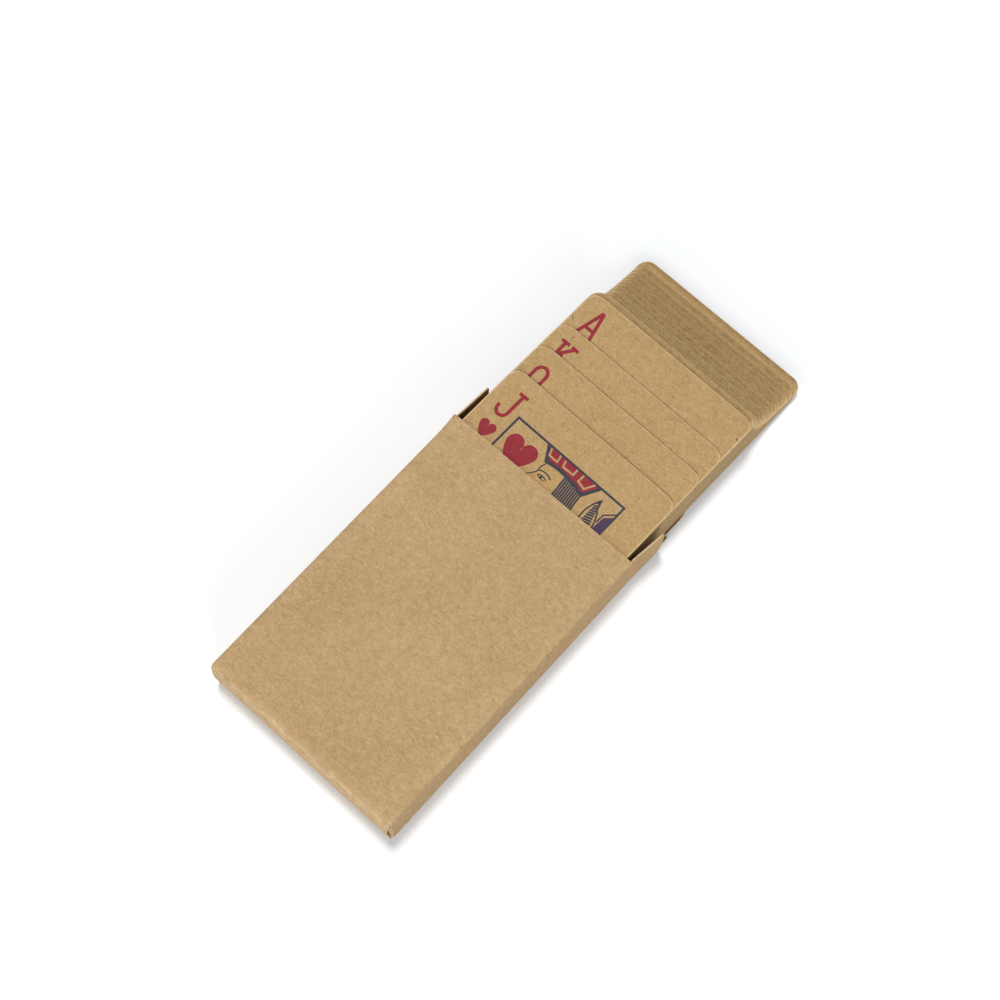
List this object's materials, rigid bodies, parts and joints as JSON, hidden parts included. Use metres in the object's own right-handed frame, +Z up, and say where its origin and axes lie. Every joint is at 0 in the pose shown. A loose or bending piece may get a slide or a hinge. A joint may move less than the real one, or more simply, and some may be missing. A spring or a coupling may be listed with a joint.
{
  "type": "playing card deck",
  "caption": "Kraft board tuck box lying on its back, open at one end, with a full deck of kraft playing cards fanned part of the way out of its mouth.",
  "frame": {"origin": "centre of the back panel's underside, the face the box lies on", "axes": "+X across the box to the right seen from above with the mouth up, +Y out of the mouth, +Z up through the front panel"},
  "size_m": [0.0619, 0.1653, 0.0164],
  "materials": {
    "box_board": "matte",
    "card_stock": "matte"
  },
  "bodies": {
    "box": {"box_sleeve": "box_board", "closed_end": "box_board"},
    "lid": {"lid_panel": "box_board"},
    "tongue": {"lid_tongue": "box_board"},
    "left_flap": {"left_dust_flap": "box_board"},
    "right_flap": {"right_dust_flap": "box_board"},
    "jack_of_hearts": {"jack_of_hearts": "card_stock"},
    "queen_of_hearts": {"queen_of_hearts": "card_stock"},
    "king_of_hearts": {"king_of_hearts": "card_stock"},
    "ace_of_hearts": {"ace_of_hearts": "card_stock"},
    "ten_of_hearts": {"ten_of_hearts": "card_stock"},
    "nine_of_hearts": {"nine_of_hearts": "card_stock"},
    "eight_of_hearts": {"eight_of_hearts": "card_stock"},
    "seven_of_hearts": {"seven_of_hearts": "card_stock"},
    "six_of_hearts": {"six_of_hearts": "card_stock"},
    "five_of_hearts": {"five_of_hearts": "card_stock"},
    "four_of_hearts": {"four_of_hearts": "card_stock"},
    "three_of_hearts": {"three_of_hearts": "card_stock"},
    "two_of_hearts": {"two_of_hearts": "card_stock"},
    "king_of_spades": {"king_of_spades": "card_stock"},
    "queen_of_spades": {"queen_of_spades": "card_stock"},
    "jack_of_spades": {"jack_of_spades": "card_stock"},
    "ten_of_spades": {"ten_of_spades": "card_stock"},
    "nine_of_spades": {"nine_of_spades": "card_stock"},
    "eight_of_spades": {"eight_of_spades": "card_stock"},
    "seven_of_spades": {"seven_of_spades": "card_stock"},
    "six_of_spades": {"six_of_spades": "card_stock"},
    "five_of_spades": {"five_of_spades": "card_stock"},
    "four_of_spades": {"four_of_spades": "card_stock"},
    "three_of_spades": {"three_of_spades": "card_stock"},
    "two_of_spades": {"two_of_spades": "card_stock"},
    "ace_of_spades": {"ace_of_spades": "card_stock"},
    "king_of_diamonds": {"king_of_diamonds": "card_stock"},
    "queen_of_diamonds": {"queen_of_diamonds": "card_stock"},
    "jack_of_diamonds": {"jack_of_diamonds": "card_stock"},
    "ten_of_diamonds": {"ten_of_diamonds": "card_stock"},
    "nine_of_diamonds": {"nine_of_diamonds": "card_stock"},
    "eight_of_diamonds": {"eight_of_diamonds": "card_stock"},
    "seven_of_diamonds": {"seven_of_diamonds": "card_stock"},
    "six_of_diamonds": {"six_of_diamonds": "card_stock"},
    "five_of_diamonds": {"five_of_diamonds": "card_stock"},
    "four_of_diamonds": {"four_of_diamonds": "card_stock"},
    "three_of_diamonds": {"three_of_diamonds": "card_stock"},
    "two_of_diamonds": {"two_of_diamonds": "card_stock"},
    "ace_of_diamonds": {"ace_of_diamonds": "card_stock"},
    "king_of_clubs": {"king_of_clubs": "card_stock"},
    "queen_of_clubs": {"queen_of_clubs": "card_stock"},
    "jack_of_clubs": {"jack_of_clubs": "card_stock"},
    "ten_of_clubs": {"ten_of_clubs": "card_stock"},
    "nine_of_clubs": {"nine_of_clubs": "card_stock"},
    "eight_of_clubs": {"eight_of_clubs": "card_stock"},
    "seven_of_clubs": {"seven_of_clubs": "card_stock"},
    "six_of_clubs": {"six_of_clubs": "card_stock"},
    "five_of_clubs": {"five_of_clubs": "card_stock"},
    "four_of_clubs": {"four_of_clubs": "card_stock"},
    "three_of_clubs": {"three_of_clubs": "card_stock"},
    "two_of_clubs": {"two_of_clubs": "card_stock"},
    "ace_of_clubs": {"ace_of_clubs": "card_stock"},
    "red_joker": {"red_joker": "card_stock"},
    "black_joker": {"black_joker": "card_stock"}
  },
  "joints": [
    {"name": "box_lid_fold", "type": "hinge", "parent": "box", "child": "lid", "pos_m": [0, 0.0456, 0], "axis": [1, 0, 0], "range_deg": [-120, 0]},
    {"name": "box_tongue_fold", "type": "hinge", "parent": "lid", "child": "tongue", "pos_m": [0, 0.06164, 0], "axis": [1, 0, 0], "range_deg": [-60, 0]},
    {"name": "box_left_flap_fold", "type": "hinge", "parent": "box", "child": "left_flap", "pos_m": [-0.0306, 0.0456, 0.00819], "axis": [0, 0, 1], "range_deg": [-2, 120]},
    {"name": "box_right_flap_fold", "type": "hinge", "parent": "box", "child": "right_flap", "pos_m": [0.0306, 0.0456, 0.00819], "axis": [0, 0, -1], "range_deg": [-6, 116]},
    {"name": "card_jack_of_hearts_slide", "type": "slide", "parent": "box", "child": "jack_of_hearts", "axis": [0, 1, 0], "range_m": [-0.02198, 0.06977]},
    {"name": "card_queen_of_hearts_slide", "type": "slide", "parent": "box", "child": "queen_of_hearts", "axis": [0, 1, 0], "range_m": [-0.03198, 0.05977]},
    {"name": "card_king_of_hearts_slide", "type": "slide", "parent": "box", "child": "king_of_hearts", "axis": [0, 1, 0], "range_m": [-0.04068, 0.05107]},
    {"name": "card_ace_of_hearts_slide", "type": "slide", "parent": "box", "child": "ace_of_hearts", "axis": [0, 1, 0], "range_m": [-0.05278, 0.03897]},
    {"name": "card_ten_of_hearts_slide", "type": "slide", "parent": "box", "child": "ten_of_hearts", "axis": [0, 1, 0], "range_m": [-0.05401, 0.03774]},
    {"name": "card_nine_of_hearts_slide", "type": "slide", "parent": "box", "child": "nine_of_hearts", "axis": [0, 1, 0], "range_m": [-0.05413, 0.03762]},
    {"name": "card_eight_of_hearts_slide", "type": "slide", "parent": "box", "child": "eight_of_hearts", "axis": [0, 1, 0], "range_m": [-0.05424, 0.03751]},
    {"name": "card_seven_of_hearts_slide", "type": "slide", "parent": "box", "child": "seven_of_hearts", "axis": [0, 1, 0], "range_m": [-0.05405, 0.0377]},
    {"name": "card_six_of_hearts_slide", "type": "slide", "parent": "box", "child": "six_of_hearts", "axis": [0, 1, 0], "range_m": [-0.05437, 0.03738]},
    {"name": "card_five_of_hearts_slide", "type": "slide", "parent": "box", "child": "five_of_hearts", "axis": [0, 1, 0], "range_m": [-0.05439, 0.03736]},
    {"name": "card_four_of_hearts_slide", "type": "slide", "parent": "box", "child": "four_of_hearts", "axis": [0, 1, 0], "range_m": [-0.05475, 0.037]},
    {"name": "card_three_of_hearts_slide", "type": "slide", "parent": "box", "child": "three_of_hearts", "axis": [0, 1, 0], "range_m": [-0.05455, 0.0372]},
    {"name": "card_two_of_hearts_slide", "type": "slide", "parent": "box", "child": "two_of_hearts", "axis": [0, 1, 0], "range_m": [-0.05472, 0.03703]},
    {"name": "card_king_of_spades_slide", "type": "slide", "parent": "box", "child": "king_of_spades", "axis": [0, 1, 0], "range_m": [-0.05481, 0.03694]},
    {"name": "card_queen_of_spades_slide", "type": "slide", "parent": "box", "child": "queen_of_spades", "axis": [0, 1, 0], "range_m": [-0.0551, 0.03665]},
    {"name": "card_jack_of_spades_slide", "type": "slide", "parent": "box", "child": "jack_of_spades", "axis": [0, 1, 0], "range_m": [-0.05526, 0.03649]},
    {"name": "card_ten_of_spades_slide", "type": "slide", "parent": "box", "child": "ten_of_spades", "axis": [0, 1, 0], "range_m": [-0.05517, 0.03658]},
    {"name": "card_nine_of_spades_slide", "type": "slide", "parent": "box", "child": "nine_of_spades", "axis": [0, 1, 0], "range_m": [-0.05541, 0.03634]},
    {"name": "card_eight_of_spades_slide", "type": "slide", "parent": "box", "child": "eight_of_spades", "axis": [0, 1, 0], "range_m": [-0.05547, 0.03628]},
    {"name": "card_seven_of_spades_slide", "type": "slide", "parent": "box", "child": "seven_of_spades", "axis": [0, 1, 0], "range_m": [-0.05596, 0.03579]},
    {"name": "card_six_of_spades_slide", "type": "slide", "parent": "box", "child": "six_of_spades", "axis": [0, 1, 0], "range_m": [-0.05587, 0.03588]},
    {"name": "card_five_of_spades_slide", "type": "slide", "parent": "box", "child": "five_of_spades", "axis": [0, 1, 0], "range_m": [-0.05611, 0.03564]},
    {"name": "card_four_of_spades_slide", "type": "slide", "parent": "box", "child": "four_of_spades", "axis": [0, 1, 0], "range_m": [-0.05614, 0.03561]},
    {"name": "card_three_of_spades_slide", "type": "slide", "parent": "box", "child": "three_of_spades", "axis": [0, 1, 0], "range_m": [-0.05657, 0.03518]},
    {"name": "card_two_of_spades_slide", "type": "slide", "parent": "box", "child": "two_of_spades", "axis": [0, 1, 0], "range_m": [-0.05684, 0.03491]},
    {"name": "card_ace_of_spades_slide", "type": "slide", "parent": "box", "child": "ace_of_spades", "axis": [0, 1, 0], "range_m": [-0.05694, 0.03481]},
    {"name": "card_king_of_diamonds_slide", "type": "slide", "parent": "box", "child": "king_of_diamonds", "axis": [0, 1, 0], "range_m": [-0.05718, 0.03457]},
    {"name": "card_queen_of_diamonds_slide", "type": "slide", "parent": "box", "child": "queen_of_diamonds", "axis": [0, 1, 0], "range_m": [-0.05733, 0.03442]},
    {"name": "card_jack_of_diamonds_slide", "type": "slide", "parent": "box", "child": "jack_of_diamonds", "axis": [0, 1, 0], "range_m": [-0.05795, 0.0338]},
    {"name": "card_ten_of_diamonds_slide", "type": "slide", "parent": "box", "child": "ten_of_diamonds", "axis": [0, 1, 0], "range_m": [-0.05808, 0.03367]},
    {"name": "card_nine_of_diamonds_slide", "type": "slide", "parent": "box", "child": "nine_of_diamonds", "axis": [0, 1, 0], "range_m": [-0.05851, 0.03324]},
    {"name": "card_eight_of_diamonds_slide", "type": "slide", "parent": "box", "child": "eight_of_diamonds", "axis": [0, 1, 0], "range_m": [-0.0586, 0.03315]},
    {"name": "card_seven_of_diamonds_slide", "type": "slide", "parent": "box", "child": "seven_of_diamonds", "axis": [0, 1, 0], "range_m": [-0.05923, 0.03252]},
    {"name": "card_six_of_diamonds_slide", "type": "slide", "parent": "box", "child": "six_of_diamonds", "axis": [0, 1, 0], "range_m": [-0.0597, 0.03205]},
    {"name": "card_five_of_diamonds_slide", "type": "slide", "parent": "box", "child": "five_of_diamonds", "axis": [0, 1, 0], "range_m": [-0.0602, 0.03155]},
    {"name": "card_four_of_diamonds_slide", "type": "slide", "parent": "box", "child": "four_of_diamonds", "axis": [0, 1, 0], "range_m": [-0.06064, 0.03111]},
    {"name": "card_three_of_diamonds_slide", "type": "slide", "parent": "box", "child": "three_of_diamonds", "axis": [0, 1, 0], "range_m": [-0.06107, 0.03068]},
    {"name": "card_two_of_diamonds_slide", "type": "slide", "parent": "box", "child": "two_of_diamonds", "axis": [0, 1, 0], "range_m": [-0.062, 0.02975]},
    {"name": "card_ace_of_diamonds_slide", "type": "slide", "parent": "box", "child": "ace_of_diamonds", "axis": [0, 1, 0], "range_m": [-0.06264, 0.02911]},
    {"name": "card_king_of_clubs_slide", "type": "slide", "parent": "box", "child": "king_of_clubs", "axis": [0, 1, 0], "range_m": [-0.06363, 0.02812]},
    {"name": "card_queen_of_clubs_slide", "type": "slide", "parent": "box", "child": "queen_of_clubs", "axis": [0, 1, 0], "range_m": [-0.06424, 0.02751]},
    {"name": "card_jack_of_clubs_slide", "type": "slide", "parent": "box", "child": "jack_of_clubs", "axis": [0, 1, 0], "range_m": [-0.06551, 0.02624]},
    {"name": "card_ten_of_clubs_slide", "type": "slide", "parent": "box", "child": "ten_of_clubs", "axis": [0, 1, 0], "range_m": [-0.06676, 0.02499]},
    {"name": "card_nine_of_clubs_slide", "type": "slide", "parent": "box", "child": "nine_of_clubs", "axis": [0, 1, 0], "range_m": [-0.06841, 0.02334]},
    {"name": "card_eight_of_clubs_slide", "type": "slide", "parent": "box", "child": "eight_of_clubs", "axis": [0, 1, 0], "range_m": [-0.07007, 0.02168]},
    {"name": "card_seven_of_clubs_slide", "type": "slide", "parent": "box", "child": "seven_of_clubs", "axis": [0, 1, 0], "range_m": [-0.07206, 0.01969]},
    {"name": "card_six_of_clubs_slide", "type": "slide", "parent": "box", "child": "six_of_clubs", "axis": [0, 1, 0], "range_m": [-0.07487, 0.01688]},
    {"name": "card_five_of_clubs_slide", "type": "slide", "parent": "box", "child": "five_of_clubs", "axis": [0, 1, 0], "range_m": [-0.07325, 0.0185]},
    {"name": "card_four_of_clubs_slide", "type": "slide", "parent": "box", "child": "four_of_clubs", "axis": [0, 1, 0], "range_m": [-0.07348, 0.01827]},
    {"name": "card_three_of_clubs_slide", "type": "slide", "parent": "box", "child": "three_of_clubs", "axis": [0, 1, 0], "range_m": [-0.07314, 0.01861]},
    {"name": "card_two_of_clubs_slide", "type": "slide", "parent": "box", "child": "two_of_clubs", "axis": [0, 1, 0], "range_m": [-0.07327, 0.01848]},
    {"name": "card_ace_of_clubs_slide", "type": "slide", "parent": "box", "child": "ace_of_clubs", "axis": [0, 1, 0], "range_m": [-0.07316, 0.01859]},
    {"name": "card_red_joker_slide", "type": "slide", "parent": "box", "child": "red_joker", "axis": [0, 1, 0], "range_m": [-0.07343, 0.01832]},
    {"name": "card_black_joker_slide", "type": "slide", "parent": "box", "child": "black_joker", "axis": [0, 1, 0], "range_m": [-0.07332, 0.01843]}
  ]
}
